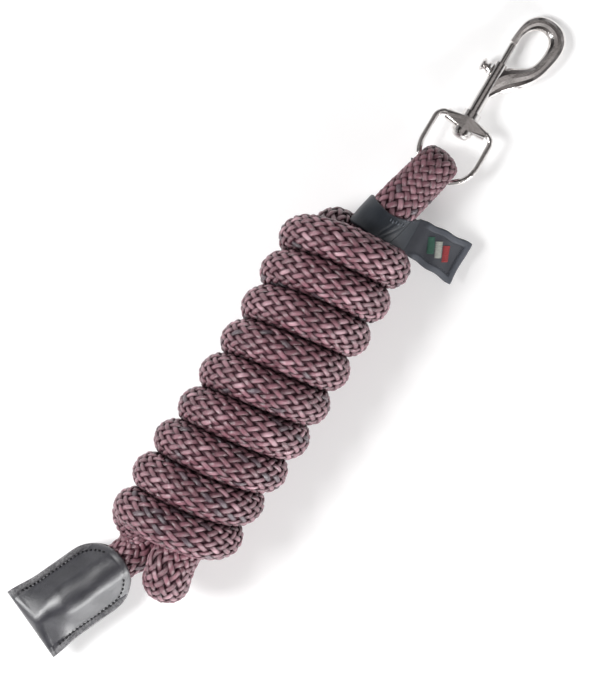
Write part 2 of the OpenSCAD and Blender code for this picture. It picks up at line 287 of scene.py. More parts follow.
def metal_material(name="nickel", rough=(0.07, 0.16), tint=(0.80, 0.775, 0.76)):
    k = Mat(name)
    co = k.coord("Object")
    n = k.noise(co, 90, 4.0, 0.6)
    fine = k.noise(co, 900, 3.0, 0.6)
    k.set(Metallic=1.0)
    k.link(k.mix(k.maprange(n, 0.35, 0.7, 0, 0.35), tint, tuple(0.78 * c for c in tint)), k.b.inputs["Base Color"])
    k.link(k.maprange(k.math("ADD", k.math("MULTIPLY", n, 0.6), k.math("MULTIPLY", fine, 0.4)), 0.3, 0.7, *rough),
           k.b.inputs["Roughness"])
    k.link(k.bump(k.math("ADD", n, k.math("MULTIPLY", fine, 0.25)), 0.30, 0.0006), k.b.inputs["Normal"])
    return k.m


def leather_material():
    k = Mat("cap_leather")
    co = k.coord("Object")
    cells = k.voronoi(co, 1500, "DISTANCE_TO_EDGE")
    crease = k.noise(co, 140, 5.0, 0.62)
    fine = k.noise(co, 2600, 2.0, 0.5)
    wear = k.attr("wear")
    base = k.ramp(crease, [(0.32, (0.013, 0.013, 0.018)), (0.55, (0.022, 0.022, 0.029)), (0.75, (0.034, 0.034, 0.042))])
    speck = k.maprange(k.noise(co, 900, 3.0, 0.6), 0.42, 0.58, 0.25, 1.0)
    base = k.mix(k.math("MULTIPLY", k.math("MULTIPLY", wear, 0.85, True), speck), base, (0.20, 0.198, 0.205))
    k.link(base, k.b.inputs["Base Color"])
    k.link(k.maprange(crease, 0.35, 0.7, 0.32, 0.42), k.b.inputs["Roughness"])
    k.set(Specular_IOR_Level=0.85, IOR=1.55, Coat_Weight=0.12, Coat_Roughness=0.24)
    h = k.math("ADD", k.math("MULTIPLY", k.math("MINIMUM", cells, 0.12), 3.2),
               k.math("ADD", k.math("MULTIPLY", crease, 0.8), k.math("MULTIPLY", fine, 0.12)))
    k.link(k.bump(h, 0.30, 0.00022), k.b.inputs["Normal"])
    return k.m


def raw_edge_material():
    k = Mat("cap_edge")
    n = k.noise(k.mapping(k.coord("Object"), (1, 1, 4)), 600, 4.0, 0.6)
    k.link(k.ramp(n, [(0.3, (0.012, 0.012, 0.015)), (0.7, (0.040, 0.036, 0.036))]), k.b.inputs["Base Color"])
    k.set(Roughness=0.72)
    k.link(k.bump(n, 0.5, 0.0003), k.b.inputs["Normal"])
    return k.m


def ribbon_material(name, a, b, rough, along=(1, 0)):
    """Woven ribbon: UV in mm."""
    k = Mat(name)
    uv = k.coord("UV")
    w1 = k.n.new("ShaderNodeTexWave")
    w1.bands_direction = "X"
    w1.inputs["Scale"].default_value = 0.9
    w1.inputs["Distortion"].default_value = 0.4
    k.link(k.mapping(uv, (1.0, 1.0, 1)), w1.inputs["Vector"])
    w2 = k.n.new("ShaderNodeTexWave")
    w2.bands_direction = "Y"
    w2.inputs["Scale"].default_value = 0.55
    w2.inputs["Distortion"].default_value = 0.3
    k.link(uv, w2.inputs["Vector"])
    weave = k.math("ADD", k.math("MULTIPLY", w1.outputs["Fac"], 0.45), k.math("MULTIPLY", w2.outputs["Fac"], 0.55))
    cloud = k.noise(k.mapping(uv, (0.1, 0.35, 1)), 1.0, 4.0, 0.6)
    mixv = k.math("ADD", k.math("MULTIPLY", weave, 0.5), k.math("MULTIPLY", cloud, 0.5))
    base = k.ramp(mixv, [(0.25, a), (0.75, b)])
    lift = k.attr("edge")
    base = k.mix(k.math("MULTIPLY", lift, 0.85, True), base, (0.060, 0.068, 0.086))
    k.link(base, k.b.inputs["Base Color"])
    k.link(k.maprange(weave, 0, 1, rough + 0.08, rough - 0.06), k.b.inputs["Roughness"])
    k.set(Specular_IOR_Level=0.42, Sheen_Weight=0.10)
    k.link(k.bump(weave, 0.45, 0.00018), k.b.inputs["Normal"])
    return k.m


def thread_material(name, colour, rough=0.55):
    k = Mat(name)
    w = k.n.new("ShaderNodeTexWave")
    w.bands_direction = "DIAGONAL"
    w.inputs["Scale"].default_value = 900
    k.link(k.coord("Object"), w.inputs["Vector"])
    n = k.noise(k.coord("Object"), 900, 2.0)
    k.link(k.mix(k.maprange(n, 0.3, 0.7, 0, 0.6), colour, tuple(0.45 * c for c in colour)), k.b.inputs["Base Color"])
    k.set(Roughness=rough)
    k.link(k.bump(w.outputs["Fac"], 0.6, 0.00012), k.b.inputs["Normal"])
    return k.m


M_ROPE = rope_material()
M_CORE_SHADE = core_shade_material()
M_METAL = metal_material()
M_BOLT = metal_material("nickel_bolt", (0.14, 0.26), (0.62, 0.60, 0.59))
M_SPRING = metal_material("spring_wire", (0.25, 0.35), (0.5, 0.5, 0.52))
M_LEATHER = leather_material()
M_EDGE = raw_edge_material()
M_RIBBON = ribbon_material("ribbon_band", (0.006, 0.009, 0.014), (0.021, 0.027, 0.037), 0.40)
M_TAB = ribbon_material("ribbon_tab", (0.014, 0.016, 0.024), (0.026, 0.030, 0.042), 0.55)
# black: the cap's stitching, and painted shade on the loose yarn ends by the eye
M_BLACK_AND_SHADE = thread_material("black_thread", (0.006, 0.006, 0.008), 0.5)
M_GREY = thread_material("grey_thread", (0.11, 0.125, 0.15))
M_SLATE = thread_material("slate_thread", (0.050, 0.058, 0.075))
M_PALE = thread_material("pale_thread", (0.50, 0.52, 0.47), 0.6)
M_GREEN = thread_material("green_thread", (0.030, 0.130, 0.085), 0.6)
M_RED = thread_material("red_thread", (0.40, 0.035, 0.040), 0.6)
M_TWINE = thread_material("twine", (0.22, 0.20, 0.17), 0.7)

# ------------------------------------------------------------------ rope route
PITCH = 22.0
FRONT = 99.0
BAR = vec(152.2, -17.7, 14.4)
YAW, RISE = math.radians(-14), math.radians(19)
EX = vec(-math.cos(RISE) * math.cos(YAW), -math.cos(RISE) * math.sin(YAW), math.sin(RISE))   # back along the splice
EY = vec(math.sin(YAW), -math.cos(YAW), 0)
EZ = np.cross(EX, EY)
R = 11.1


def eye(x, y, z):
    return BAR + x * EX + y * EY + z * EZ


def hank_tables(t):
    """t in turns, 0 at the first pass on the -Y side. Middle and half width of the turn there."""
    lo = np.array([-36.5, -36.5, -36.5, -36.5, -36.5, -36.2, -34.8, -32.6, -31.8])
    hi = np.array([37.7, 37.0, 36.2, 36.5, 37.4, 38.0, 40.6, 41.6, 40.8])
    n = np.arange(9)
    a = np.interp(t, n, lo)
    b = np.interp(t, n + 0.5, hi)
    return (a + b) / 2, (b - a) / 2 - R


def hank_point(phi):
    t = phi / (2 * math.pi)
    cy, hw = hank_tables(t)
    top = np.sin(phi)
    lean = np.interp(t, [0.25, 1.25, 4.5, 7.25, 8.25], [3.6, 3.6, 0.0, -4.0, -4.5])
    x = 94 - PITCH * t + lean * np.maximum(top, 0) ** 1.0 * 0.9
    return np.stack([x, cy - hw * np.cos(phi), 33.4 + 22.6 * top], -1)


# Control points: position, half width, half thickness and a width direction hint
ctrl = []


def add(p, a=R, b=R):
    ctrl.append((np.asarray(p, float), a, b))


def leg(x, side):
    """A leg of the eye: flat by the ring, nearly half round in the splice."""
    w = smoothstep(2, 25, x)
    return eye(x, 0, side * (8.8 - 3.2 * w)), 11.5 + 0.5 * w, 5.5 + 1.0 * w


for x in (45, 39, 33, 27, 21, 15, 10, 5):
    p, a, b = leg(x, -1)
    add(p, a, b)
for q in range(0, 181, 15):
    r = 8.8
    add(eye(-r * math.sin(math.radians(q)), 0, -r * math.cos(math.radians(q))), 11.3 - 0.5 * math.sin(math.radians(q)), 5.5)
for x in (5, 10, 15, 21, 27, 33):
    p, a, b = leg(x, 1)
    add(p, a, b)
add(eye(39, 0, 4.4), 11.9, 7.6)
add(eye(45, 0, 2.8), 11.6, 9.2)
add(eye(51, 0, 1.0), 11.4, 10.8)
add(eye(57, -0.4, 0.0))
for p in ([92.5, -6.5, 32.6], [84, -8, 30], [74, -8.4, 27.5], [62, -8.5, 26], [46, -8.5, 25.4], [24, -8.5, 25.4],
          [0, -8.5, 25.4], [-24, -8.5, 25.4], [-48, -8.5, 25.4], [-70, -8.0, 25.2], [-88, -6.0, 24.2]):
    add(p)
add([-99, -4.6, 22.9], 12.2, 11.0)
for q in range(0, 181, 15):
    sq = math.sin(math.radians(q))
    add([-108.6 - 11.4 * sq, -4.0 - 2.6 * sq, 33.4 - 11.2 * math.cos(math.radians(q))], 13.0, 11.4)
add([-99, -4.6, 43.7], 12.2, 11.0)
for p in ([-88, -6.0, 42.6], [-70, -6.6, 41.4], [-48, -6, 41.0], [-24, -5, 41.0], [0, -4, 41.0], [24, -3, 41.0],
          [46, -1, 41.0], [62, 2, 40.8], [74, 6, 40.2], [84, 10.4, 38.2], [91, 12.8, 35.0], [96.4, 13.6, 29.6],
          [98.8, 11.0, 22.0], [99.2, 3.4, 14.8], [98.6, -6.5, 12.0], [97.6, -16.0, 15.2], [95.8, -22.6, 22.6]):
    add(p)
for i in range(0, int(8.5 * 16) + 1):
    add(hank_point(np.array(i / 16 * 2 * math.pi)))
CAP_O = vec(-121.9, 20.2, 13.0)
CA = math.radians(155.7)
CX = vec(math.cos(CA), math.sin(CA), 0)
CY = vec(-math.sin(CA), math.cos(CA), 0)


def cap(x, y, z):
    return CAP_O + x * CX + y * CY + vec(0, 0, z)


for p in ([-96.8, 28.4, 25.0], [-99.6, 24.4, 18.2], [-104.0, 19.0, 14.0], [-109.6, 16.4, 12.4], [-115.8, 17.4, 12.2]):
    add(p, 11.7, 11.3)
for x in (0, 6, 12, 20, 30, 40, 47):
    add(cap(x, 0, -0.4), 10.6, 10.6)


def catmull(P, per):
    """Centripetal-like smooth curve through rows of P."""
    n = len(P)
    out = []
    for i in range(n - 1):
        a, b, c, d = P[max(i - 1, 0)], P[i], P[i + 1], P[min(i + 2, n - 1)]
        u = np.arange(per) / per
        u = u[:, None]
        out.append(0.5 * (2 * b + (c - a) * u + (2 * a - 5 * b + 4 * c - d) * u ** 2 + (3 * b - a - 3 * c + d) * u ** 3))
    out.append(P[-1][None])
    return np.concatenate(out)


raw = np.array([[*p, a, b] for p, a, b in ctrl])
dense = catmull(raw, 12)
for _ in range(3):                       # a rope has no kinks: light smoothing away from the ends
    core = dense[2:-2, :3]
    dense[2:-2, :3] = (dense[:-4, :3] + dense[4:, :3] + 2 * dense[1:-3, :3] + 2 * dense[3:-1, :3] + 3 * core) / 9
seg = np.linalg.norm(np.diff(dense[:, :3], axis=0), axis=1)
arc = np.concatenate([[0], np.cumsum(seg)])
LENGTH = arc[-1]
UNIT = 3.30                              # along the rope from one crossing to the next
STEP = UNIT / 2.8
count = int(LENGTH / STEP)
s_at = np.arange(count + 1) * STEP
path = np.stack([np.interp(s_at, arc, dense[:, i]) for i in range(5)], -1)
P = path[:, :3] + SHIFT
A, B = path[:, 3], path[:, 4]
T = np.gradient(P, axis=0)
T /= np.linalg.norm(T, axis=1)[:, None]
# Width direction carried along without twist
W = np.zeros_like(P)
W[0] = unit(EY - T[0] * np.dot(EY, T[0]))
for i in range(1, len(P)):
    v = W[i - 1] - T[i] * np.dot(W[i - 1], T[i])
    W[i] = v / np.linalg.norm(v)
N = np.cross(T, W)
near_start = np.linalg.norm(P - (hank_point(np.array(0.0)) + SHIFT), axis=1)
hank_from = s_at[int(np.argmin(near_start))]
near_end = np.linalg.norm(P - (hank_point(np.array(17 * math.pi)) + SHIFT), axis=1)
hank_to = s_at[int(np.argmin(near_end))]
TURN_LEN = (hank_to - hank_from) / 8.5
print("turn", round(TURN_LEN, 1))
print("rope length", round(LENGTH), "mm, rings", len(P))


def section(theta, i, rad):
    """Point at angle theta on ring i, with rad the outward offset from the rope's skin."""
    a, b = A[i] + rad, B[i] + rad
    c, s = np.cos(theta), np.sin(theta)
    return P[i] + (a * c)[:, None] * W[i] + (b * s)[:, None] * N[i]


def settle(v, low=0.12):
    """What would go below the ground is pressed flat on it."""
    z = v[:, 2]
    v[:, 2] = np.where(z < low + 1.0, low + 1.0 * np.exp(np.minimum((z - low - 1.0), 0) / 1.0), z)
    return v


# ------------------------------------------------------------------ the braid
def braid():
    yarns = 22
    cross = np.array([-0.5, -0.42, -0.24, 0.0, 0.24, 0.42, 0.5])
    crown = np.array([-0.66, -0.06, 0.24, 0.32, 0.24, -0.06, -0.66])
    width = 3.10
    amp = 0.86
    idx = np.arange(len(P))
    n_s, n_c = len(idx), len(cross)
    vs, fs, tone, lift, blue, uvs = [], [], [], [], [], []
    base_f = grid_faces(n_s, n_c)
    off = 0
    r_mean = np.sqrt((A ** 2 + B ** 2) / 2)
    # the braid's angle is kept as the rope is pressed wider
    # a braid closes up where the rope turns hard: in the eye and in the core's free loop
    loop_s = s_at[int(np.argmin(np.where(s_at < hank_from, P[:, 0], 1e9)))]
    close = 1 + 0.65 * np.exp(-((s_at - loop_s) / 24) ** 4) + 0.34 * (1 - smoothstep(84, 104, s_at))
    u = np.cumsum(close) * STEP / UNIT
    ang0 = u * math.pi / yarns
    wob = 0.06 * np.sin(s_at / 31.0) + 0.05 * np.sin(s_at / 12.7 + 1)
    for way in (1, -1):
        for i in range(yarns):
            run = (2 * i + u) if way > 0 else (u - 2 * i)
            top = 0.5 if way > 0 else -2.5          # where a float's middle lies
            phi = (run - top) / 4 * 2 * math.pi
            n_f = np.floor((run - top) / 4 + 0.5).astype(int)
            dice = np.random.default_rng(1000 + 2 * i + (way > 0)).random((n_f.max() - n_f.min() + 1, 4))[n_f - n_f.min()]
            over = np.cos(phi)
            high = np.where(over > 0, np.maximum(over, 0) ** 1.15, over) * 1.12 - 0.30
            # a float lies steeper than the yarn's mean course
            th = way * (ang0 + 0.048 * np.sin(phi)) + 2 * math.pi * i / yarns + wob
            loose = 1 + 1.8 * (1 - smoothstep(80, 100, s_at))
            th = th + 0.020 * loose * (dice[:, 0] - 0.5) * np.clip(over, 0, 1)
            h = amp * high * (1 + 0.34 * np.minimum(loose, 1.7) * (dice[:, 1] - 0.5) * np.clip(over, 0, 1))
            slope = math.atan2(1.885 * 1.45, UNIT)
            half = width * (0.86 + 0.14 * over) * (1 + 0.16 * (dice[:, 2] - 0.5) * np.clip(over, 0, 1))
            t_yarn = rng.random()
            q = cross[None, :]
            # across the yarn: part round the rope, part along it
            across = half[:, None] * q
            dtheta = across * math.cos(slope) / r_mean[:, None]
            dalong = -way * across * math.sin(slope)
            rad = h[:, None] + crown[None, :] * (0.80 + 0.20 * over[:, None])
            jj = np.repeat(idx, n_c)
            v = section((th[:, None] + dtheta).ravel(), jj, rad.ravel() - 0.25)
            v += dalong.ravel()[:, None] * T[jj]
            vs.append(v)
            fs.append(base_f + off)
            off += n_s * n_c
            # every float catches the light its own way
            tone.append(np.repeat(np.clip(0.15 * t_yarn + 0.85 * dice[:, 3] + 0.12 * (loose - 1), 0, 1), n_c))
            # lift: how far up a yarn lies, less at its sides; the rope material paints shade where it is low and a
            # highlight where it is high
            bright = smoothstep(0.10, 0.95, over)
            lift.append((bright[:, None] * (1.0 - 0.55 * (np.abs(q) / 0.5) ** 4)).ravel())
            tracer = 0.72 if (way > 0 and i in (3, 4)) or (way < 0 and i in (12,)) else 0.0
            patch = smoothstep(-0.15, 0.25, np.sin(s_at / 29.0 + i))
            blue.append(np.repeat(np.maximum(tracer * patch, 0.6 * (dice[:, 1] * dice[:, 3] > 0.80)), n_c))
            along = s_at / math.cos(slope)
            uvs.append(np.stack([np.repeat(along + 37.0 * i, n_c) + across.ravel() * 0.0,
                                 np.tile(q.ravel() + 0.5, n_s)], -1))
    v = settle(np.concatenate(vs))
    f = np.concatenate(fs)
    # how near each point is to the next turn, for the painted shade in the crevices between the turns
    ring_of = (np.arange(len(v)) // n_c) % n_s
    crevice_shade = crevice_shade_of(v, ring_of)
    # the core inside the turns is hidden: only the plain strand below is kept there
    hidden = (P[:, 0] - SHIFT[0] > -84) & (P[:, 0] - SHIFT[0] < 74) & (s_at < hank_from) & (s_at > 110)
    ring = (f // n_c) % n_s
    f = f[~hidden[ring].all(axis=1)]
    return new_mesh("rope_braid", v, f, M_ROPE, attrs={"tone": np.concatenate(tone), "lift": np.concatenate(lift),
                                                      "blue": np.concatenate(blue), "crevice_shade": crevice_shade}, uv=np.concatenate(uvs))


def crevice_shade_of(v, ring_of):
    """Mask for painted crevice shade: 1 where a point touches another stretch of the rope, 0 where it stands 5 mm
    clear.
    """
    own = s_at[ring_of]
    crevice_shade = np.zeros(len(v))
    first = hank_from
    for sgn in (1, -1):
        # one turn on or back along the helix
        near_s = own + sgn * TURN_LEN
        ok = (own > first) & (near_s > first) & (near_s < hank_to)
        j = np.clip(np.round(near_s / STEP).astype(int), 0, len(P) - 1)
        best = np.full(len(v), 99.0)
        for dj in range(-6, 7, 2):
            k = np.clip(j + dj, 0, len(P) - 1)
            best = np.minimum(best, np.linalg.norm(v - P[k], axis=1))
        gap = best - R
        crevice_shade = np.maximum(crevice_shade, np.where(ok, 1 - smoothstep(0.2, 4.2, gap), 0))
    return crevice_shade


def tube(name, scale, mat, sides=20, step=3):
    idx = np.arange(0, len(P), step)
    if idx[-1] != len(P) - 1:
        idx = np.append(idx, len(P) - 1)
    th = np.arange(sides) / sides * 2 * math.pi
    jj = np.repeat(idx, sides)
    v = section(np.tile(th, len(idx)), jj, np.full(len(jj), scale))
    v = settle(v)
    f = grid_faces(len(idx), sides, wrap_v=True)
    v = np.concatenate([v, P[idx[0]][None], P[idx[-1]][None]])
    n = len(idx) * sides
    ob = new_mesh(name, v, f, mat)
    return ob


rope = braid()
# a tube just inside the braid in the dark core colour: painted shade in the gaps between the yarns
under = tube("rope_inside", -1.0, M_CORE_SHADE)
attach(rope, "rope")
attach(under, "rope")
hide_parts("rope_hank", "rope_bight", "rope_tail", "rope_end", "rope_eye")

# ------------------------------------------------------------------ leather cap
CAP_LEN = 64.5


def cap_half(x):
    return 20.75 + 1.75 * smoothstep(44, 64.5, x)


def cap_height(x, y):
    """Half height of the cap's outer face above its seam plane, before the fold closes it."""
    r = 13.0 - 5.2 * smoothstep(40, 62, x)
    ply = 2.0
    ay = np.abs(y)
    # the rope's round, tangent to a slope that runs out to the sewn margin
    edge = 16.9
    c = r * r
    d = np.sqrt(np.maximum(edge ** 2 + ply ** 2 - c, 1e-6))
    base_ang = np.arctan2(ply, edge)
    tang = base_ang + np.arccos(np.clip(r / np.hypot(edge, ply), -1, 1))
    yt, zt = r * np.cos(tang), r * np.sin(tang)
    circ = np.sqrt(np.maximum(c - ay ** 2, 0))
    line = zt + (ply - zt) * (ay - yt) / (edge - yt)
    z = np.where(ay < yt, circ, np.maximum(line, ply))
    return np.maximum(z, ply)


def leather_cap():
    nu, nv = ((110, 121))
    p = np.linspace(0, 1, nu) ** 1.0
    v = np.sin(np.linspace(-math.pi / 2, math.pi / 2, nv))
    v = 0.55 * v + 0.45 * np.linspace(-1, 1, nv)
    Pp, V = np.meshgrid(p, v, indexing="ij")
    xa = 20.75 * (1 - np.sqrt(np.maximum(1 - V ** 2, 0)))
    X = xa * (1 - Pp) + CAP_LEN * Pp
    Y = V * cap_half(X)
    H = cap_height(X, Y)
    # soften the slopes
    for _ in range(3):
        H[1:-1, 1:-1] = (H[:-2, 1:-1] + H[2:, 1:-1] + H[1:-1, :-2] + H[1:-1, 2:] + 2 * H[1:-1, 1:-1]) / 6
    # the fold: the strip turns round at the far end, thick in its middle
    fold = 2.6 + 3.6 * np.cos(np.clip(Y / 22.5, -1, 1) * math.pi / 2) ** 1.3
    H = np.minimum(H, fold + (CAP_LEN - X) * 0.55)
    t = np.clip((X - (CAP_LEN - fold)) / fold, 0, 1)
    close = np.sqrt(np.maximum(1 - t ** 2, 0))
    Hf = np.minimum(H, np.maximum(H * close, 0))
    # cut edges: a little rounding along the sides and the mouth
    side = cap_half(X) - np.abs(Y)
    Hf = Hf - 0.3 * (1 - smoothstep(0, 0.6, side)) * (t <= 0)
    mouth = (X - xa)
    Hf = Hf - 0.45 * (1 - smoothstep(0, 0.8, mouth))
    # the seam pulls the leather in along its line
    seam_d = seam_distance(X, Y)
    groove = np.exp(-(seam_d / 0.75) ** 2)
    Hf = Hf - 0.18 * groove * (X < CAP_LEN - 5)
    # soft unevenness
    Hf = Hf + (t <= 0) * 0.18 * (np.sin(X * 0.31 + 1.0) * np.sin(Y * 0.27 + 0.4) + 0.6 * np.sin(X * 0.13 - Y * 0.21))
    wear = np.clip(np.exp(-(side / 3.3) ** 4) + np.exp(-mouth / 0.8) + 0.9 * smoothstep(0.75, 1.0, t), 0, 1)
    verts, faces, ws = [], [], []
    off = 0
    for s in (1, -1):
        z = s * Hf
        outer = np.stack([X, Y, z], -1).reshape(-1, 3)
        inner_h = np.where(np.abs(H) > 2.3, np.maximum(Hf - 2.0, 0.05), 0.05) * s
        inner = np.stack([X, Y, inner_h], -1).reshape(-1, 3)
        f_out = grid_faces(nu, nv, flip=(s < 0))
        verts += [outer, inner]
        ws += [wear.ravel(), wear.ravel()]
        faces.append(f_out + off)
        faces.append(grid_faces(nu, nv, flip=(s > 0)) + off + nu * nv)
        # walls round the mouth and the two sides
        a = np.arange(nv)
        m = np.stack([a[:-1], a[:-1] + nu * nv, a[1:] + nu * nv, a[1:]], -1) + off
        faces.append(m if s < 0 else m[:, ::-1])
        for col, fl in ((0, s > 0), (nv - 1, s < 0)):
            b = np.arange(nu) * nv + col
            w = np.stack([b[:-1], b[1:], b[1:] + nu * nv, b[:-1] + nu * nv], -1) + off
            faces.append(w if fl else w[:, ::-1])
        off += 2 * nu * nv
    L = np.concatenate(verts)
    world = CAP_O[None] + L[:, :1] * CX + L[:, 1:2] * CY + np.stack([0 * L[:, 2], 0 * L[:, 2], L[:, 2]], -1)
    world = settle(world + SHIFT, 0.05)
    return new_mesh("cap_skin", world, np.concatenate(faces), M_LEATHER, attrs={"wear": np.concatenate(ws)})


def seam_distance(X, Y):
    inset = 3.6
    r = 20.75 - inset
    d_arc = np.abs(np.hypot(X - 20.75, Y) - r)
    d_side = np.abs(np.abs(Y) - (cap_half(X) - inset))
    return np.where(X < 20.75, d_arc, d_side)


def capsule(a, b, r, sides=8, bulge=0.0, up=vec(0, 0, 1)):
    """A stitch: a rounded thread from a to b, its ends dipping in."""
    a, b = np.asarray(a, float), np.asarray(b, float)
    t = unit(b - a)
    side = unit(np.cross(up, t))
    nrm = np.cross(t, side)
    us = np.array([0.0, 0.06, 0.2, 0.5, 0.8, 0.94, 1.0])
    rs = np.array([0.15, 0.6, 0.95, 1.0, 0.95, 0.6, 0.15]) * r
    dip = np.array([-1.0, -0.45, 0.1, 0.35, 0.1, -0.45, -1.0]) * (r * 0.7 + bulge)
    th = np.arange(sides) / sides * 2 * math.pi
    v = []
    for u, rr, d in zip(us, rs, dip):
        c = a + (b - a) * u + nrm * d
        v.append(c + rr * (np.cos(th)[:, None] * side + np.sin(th)[:, None] * nrm))
    return np.concatenate(v), grid_faces(len(us), sides, wrap_v=True)


def many(name, parts, mat):
    vs, fs, off = [], [], 0
    for v, f in parts:
        vs.append(v)
        fs.append(f + off)
        off += len(v)
    return new_mesh(name, np.concatenate(vs), np.concatenate(fs), mat)


def seam_line(side_sign):
    """Points along the cap's seam, from the middle of the mouth's arch to near the fold."""
    inset = 3.6
    r = 20.75 - inset
    pts = []
    for q in np.linspace(0, 90, 60):
        pts.append([20.75 - r * math.cos(math.radians(q)), side_sign * r * math.sin(math.radians(q))])
    for x in np.linspace(20.75, CAP_LEN - 5.5, 60)[1:]:
        pts.append([x, side_sign * (cap_half(x) - inset)])
    return np.array(pts)


def cap_top(x, y):
    h = float(cap_height(np.array(x), np.array(y)))
    fold = 2.6 + 3.6 * math.cos(max(-1, min(1, y / 22.5)) * math.pi / 2) ** 1.3
    return min(h, fold + (CAP_LEN - x) * 0.55)


def cap_stitches():
    parts = []
    pitch, length = 2.5, 1.6
    for sgn in (1, -1):
        line = seam_line(sgn)
        d = np.concatenate([[0], np.cumsum(np.linalg.norm(np.diff(line, axis=0), axis=1))])
        # the seam runs along the sides and round the mouth's shoulders, and leaves the rope's own way clear
        start = 9.5
        n = int((d[-1] - start) / pitch)
        for i in range(n):
            s0 = start + i * pitch + 0.35
            q = [np.array([np.interp(s, d, line[:, 0]), np.interp(s, d, line[:, 1])]) for s in (s0, s0 + length)]
            for face in (1, -1):
                e = [cap(p[0], p[1], face * (cap_top(p[0], p[1]) - 0.02)) + SHIFT for p in q]
                parts.append(capsule(e[0], e[1], 0.56, up=vec(0, 0, face)))
    return many("cap_seam", parts, M_BLACK_AND_SHADE)


cap_ob = leather_cap()
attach(cap_ob, "rope")
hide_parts("leather_cap")
seam = cap_stitches()
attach(seam, "rope")
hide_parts("cap_stitching")


# ------------------------------------------------------------------ ribbon band
def band_r(t, TH):
    """The ribbon's radius round the splice, with the flats that a ribbon pulls."""
    m = (t - 31) / 21.0
    a = 14.7 - 0.9 * smoothstep(0.6, 1.1, m)
    b = 14.3 - 1.3 * smoothstep(0.55, 1.1, m)
    r = 1.0 / np.sqrt((np.cos(TH) / a) ** 2 + (np.sin(TH) / b) ** 2)
    return r + 0.25 * np.sin(3 * TH + 0.8) * np.sin(m * 3.0) + 0.12 * np.sin(7 * TH + 2 * m)


def band_ends(TH):
    """Where along the splice the ribbon starts and ends: its edges are straight across when seen from above."""
    c, s_ = 14.6 * np.cos(TH), 14.4 * np.sin(TH)
    lie = c * EY[0] + s_ * EZ[0]
    across = np.cos(TH + 0.12)
    front_x = 120.4 + 4.6 * across ** 2 * np.sign(np.sin(TH) + 1.2)
    rear_x = 104.6 + 1.2 * across ** 2
    return (BAR[0] - front_x + lie) / -EX[0], (BAR[0] - rear_x + lie) / -EX[0]


def band():
    """Ribbon sewn round the splice."""
    nu, nv = 60, 220
    th = np.arange(nv) / nv * 2 * math.pi
    t0, t1 = band_ends(th)
    t1 = np.minimum(t1, 57.0)
    m = np.linspace(0, 1, nu)
    X = t0[None] + (t1 - t0)[None] * m[:, None]
    TH = np.repeat(th[None], nu, 0)
    M_ = np.repeat(m[:, None], nv, 1)
    r = band_r(X, TH)
    # rolled edges, and creases that run from the stitched corner
    r = r - 0.9 * (1 - smoothstep(0, 0.06, M_)) ** 2 - 0.8 * smoothstep(0.95, 1.0, M_) ** 2
    crease = np.exp(-((TH - (0.62 + 0.5 * M_)) / 0.07) ** 2) + 0.6 * np.exp(-((TH - (1.05 + 0.25 * M_)) / 0.06) ** 2)
    r = r - 0.35 * crease * smoothstep(0.0, 0.3, M_)
    pts = (BAR + SHIFT)[None, None] + X[..., None] * EX + (r * np.cos(TH))[..., None] * EY + (r * np.sin(TH))[..., None] * EZ
    uv = np.stack([X.ravel(), (TH * 14).ravel()], -1)
    edge = np.clip(np.exp(-M_ / 0.05) + np.exp(-(1 - M_) / 0.05), 0, 1) * 0.5
    v = pts.reshape(-1, 3)
    f = grid_faces(nu, nv, wrap_v=True)
    rim_v, rim_f, off = [v], [f], len(v)
    for row, flip in ((0, False), (nu - 1, True)):
        ri = r[row] - 1.3
        inner = (BAR + SHIFT)[None] + X[row][:, None] * EX + (ri * np.cos(th))[:, None] * EY + (ri * np.sin(th))[:, None] * EZ
        rim_v.append(inner)
        k = np.arange(nv)
        q = np.stack([row * nv + k, row * nv + (k + 1) % nv, off + (k + 1) % nv, off + k], -1)
        rim_f.append(q[:, ::-1] if flip else q)
        off += nv
    v = np.concatenate(rim_v)
    uv = np.concatenate([uv, np.zeros((2 * nv, 2))])
    edge = np.concatenate([edge.ravel(), np.zeros(2 * nv)])
    return new_mesh("ribbon_wrap", v, np.concatenate(rim_f), M_RIBBON, attrs={"edge": edge}, uv=uv)


band_ob = band()
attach(band_ob, "rope")
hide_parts("label_band", "eye_whipping")


def on_band(x, deg, lift=0.05):
    t = math.radians(deg)
    r = float(band_r(np.array(x), np.array(t))) + lift
    return BAR + SHIFT + x * EX + r * math.cos(t) * EY + r * math.sin(t) * EZ


parts = []
for i in range(6):
    d = 78 - 6.5 * i
    t = float(band_ends(np.radians([d]))[0][0]) + 2.2 + 0.7 * (i % 2)
    p0, p1 = on_band(t, d), on_band(t + 2.0, d - 2.5)
    parts.append(capsule(p0, p1, 0.36, up=unit(p0 - (BAR + SHIFT + t * EX))))
for i in range(5):
    d = 24 + 6 * i
    t = float(band_ends(np.radians([d]))[0][0]) + 1.2
    p0, p1 = on_band(t, d), on_band(t + 0.3, d + 4.2)
    parts.append(capsule(p0, p1, 0.30, up=unit(p0 - (BAR + SHIFT + t * EX))))
bst = many("ribbon_stitches", parts, M_GREY)
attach(bst, "rope")
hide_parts("band_stitching")

# ------------------------------------------------------------------ label tab
ROOT = vec(116.2, -27.0, 24.5) + SHIFT
TAB_YAW = math.radians(1)
SLOPE = math.radians(26)
TAB_LEN = 35.5
TX = vec(math.cos(TAB_YAW), math.sin(TAB_YAW), 0)
TYH = vec(-math.sin(TAB_YAW), math.cos(TAB_YAW), 0)


